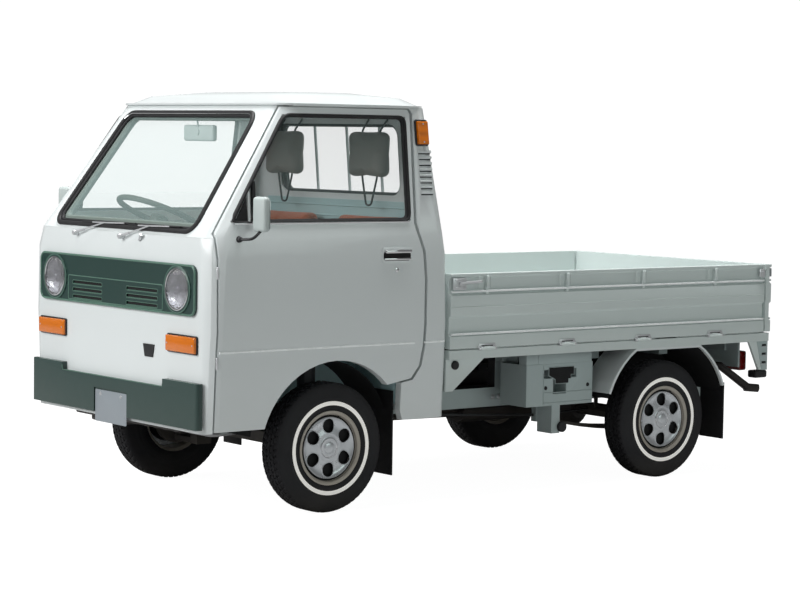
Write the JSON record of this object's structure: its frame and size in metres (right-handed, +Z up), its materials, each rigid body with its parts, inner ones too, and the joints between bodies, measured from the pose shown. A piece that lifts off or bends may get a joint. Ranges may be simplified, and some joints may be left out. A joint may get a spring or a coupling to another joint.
{
  "type": "cab-over kei truck",
  "caption": "Small cab-over pickup truck with hinged doors, drop-down side gates and tailgate, steered front wheels and a flat ribbed bed.",
  "frame": {"origin": "on the ground, under the middle of the truck's overall length and width", "axes": "+Z up, -Y forwards, +X towards the truck's left side"},
  "size_m": [1.495, 2.995, 1.6],
  "materials": {
    "body_white": "pale off-white gloss paint",
    "trim_green": "dark green satin paint",
    "rubber_black": "matt black rubber",
    "tyre_rubber": "black tyre rubber with a white sidewall band",
    "wheel_silver": "silver wheel covers on painted steel rims",
    "glass_clear": "clear toughened glass",
    "lamp_glass": "fluted lamp glass",
    "amber_plastic": "amber lamp lens",
    "red_plastic": "red lamp lens",
    "seat_cloth": "orange-brown seat cloth",
    "headrest_grey": "grey headrest cover",
    "dash_plastic": "pale moulded plastic",
    "chassis_black": "black chassis paint",
    "engine_iron": "dull grey iron",
    "mirror_plastic": "black moulded plastic"
  },
  "bodies": {
    "truck": {"chassis_frame": "body_white", "front_suspension": "chassis_black", "rear_axle": "chassis_black", "engine_block": "engine_iron", "exhaust": "engine_iron", "battery_box": "body_white", "fuel_tank": "chassis_black", "cab_front": "body_white", "cab_roof": "body_white", "cab_back": "body_white", "cab_floor": "body_white", "dashboard": "dash_plastic", "windscreen": "glass_clear", "rear_window": "glass_clear", "side_lamp_left": "amber_plastic", "side_lamp_right": "amber_plastic", "seat_left": "seat_cloth", "seat_right": "seat_cloth", "headrest_left": "headrest_grey", "headrest_right": "headrest_grey", "grille_panel": "trim_green", "headlamp_left": "lamp_glass", "headlamp_right": "lamp_glass", "turn_lamp_left": "amber_plastic", "turn_lamp_right": "amber_plastic", "bumper": "trim_green", "bed_deck": "body_white", "rear_fender_left": "body_white", "rear_fender_right": "body_white", "mudflap_front_left": "rubber_black", "mudflap_front_right": "rubber_black", "mudflap_rear_left": "rubber_black", "mudflap_rear_right": "rubber_black", "tail_lamp_left": "red_plastic", "tail_lamp_right": "red_plastic"},
    "door_left": {"door_left": "body_white", "door_glass_left": "glass_clear", "mirror_left": "mirror_plastic"},
    "door_right": {"door_right": "body_white", "door_glass_right": "glass_clear", "mirror_right": "mirror_plastic"},
    "gate_left": {"gate_left": "body_white"},
    "gate_right": {"gate_right": "body_white"},
    "tailgate": {"tailgate": "body_white"},
    "steering": {"steering_wheel": "mirror_plastic"},
    "knuckle_left": {"knuckle_left": "chassis_black"},
    "knuckle_right": {"knuckle_right": "chassis_black"},
    "wheel_front_left": {"tyre_front_left": "tyre_rubber", "wheel_front_left": "wheel_silver"},
    "wheel_front_right": {"tyre_front_right": "tyre_rubber", "wheel_front_right": "wheel_silver"},
    "wheel_rear_left": {"tyre_rear_left": "tyre_rubber", "wheel_rear_left": "wheel_silver"},
    "wheel_rear_right": {"tyre_rear_right": "tyre_rubber", "wheel_rear_right": "wheel_silver"}
  },
  "joints": [
    {"name": "door_left_hinge", "type": "hinge", "parent": "truck", "child": "door_left", "pos_m": [0.6475, -1.43, 0.7], "axis": [0, 0, -1], "range_deg": [0, 65]},
    {"name": "door_right_hinge", "type": "hinge", "parent": "truck", "child": "door_right", "pos_m": [-0.6475, -1.43, 0.7], "axis": [0, 0, 1], "range_deg": [0, 65]},
    {"name": "gate_left_hinge", "type": "hinge", "parent": "truck", "child": "gate_left", "pos_m": [0.6405, 0.5535, 0.6], "axis": [0, 1, 0], "range_deg": [0, 170]},
    {"name": "gate_right_hinge", "type": "hinge", "parent": "truck", "child": "gate_right", "pos_m": [-0.6405, 0.5535, 0.6], "axis": [0, -1, 0], "range_deg": [0, 170]},
    {"name": "tailgate_hinge", "type": "hinge", "parent": "truck", "child": "tailgate", "pos_m": [0, 1.4905, 0.6], "axis": [-1, 0, 0], "range_deg": [0, 170]},
    {"name": "steer_left", "type": "hinge", "parent": "truck", "child": "knuckle_left", "pos_m": [0.435, -0.887, 0.25], "axis": [0, 0, 1], "range_deg": [-30, 30]},
    {"name": "steer_right", "type": "hinge", "parent": "truck", "child": "knuckle_right", "pos_m": [-0.435, -0.887, 0.25], "axis": [0, 0, 1], "range_deg": [-30, 30]},
    {"name": "steering_wheel_turn", "type": "hinge", "parent": "truck", "child": "steering", "pos_m": [-0.3, -1.085, 1.105], "axis": [0, 0.4067, 0.9136], "range_deg": [-455, 455]},
    {"name": "roll_front_left", "type": "hinge", "parent": "knuckle_left", "child": "wheel_front_left", "pos_m": [0.5425, -0.887, 0.25], "axis": [1, 0, 0], "continuous": true},
    {"name": "roll_front_right", "type": "hinge", "parent": "knuckle_right", "child": "wheel_front_right", "pos_m": [-0.5425, -0.887, 0.25], "axis": [1, 0, 0], "continuous": true},
    {"name": "roll_rear_left", "type": "hinge", "parent": "truck", "child": "wheel_rear_left", "pos_m": [0.5425, 0.873, 0.25], "axis": [1, 0, 0], "continuous": true},
    {"name": "roll_rear_right", "type": "hinge", "parent": "truck", "child": "wheel_rear_right", "pos_m": [-0.5425, 0.873, 0.25], "axis": [1, 0, 0], "continuous": true}
  ],
  "couplings": [
    {"joint": "steer_right", "follows": "steer_left", "ratio": 1},
    {"joint": "steering_wheel_turn", "follows": "steer_left", "ratio": 15}
  ]
}
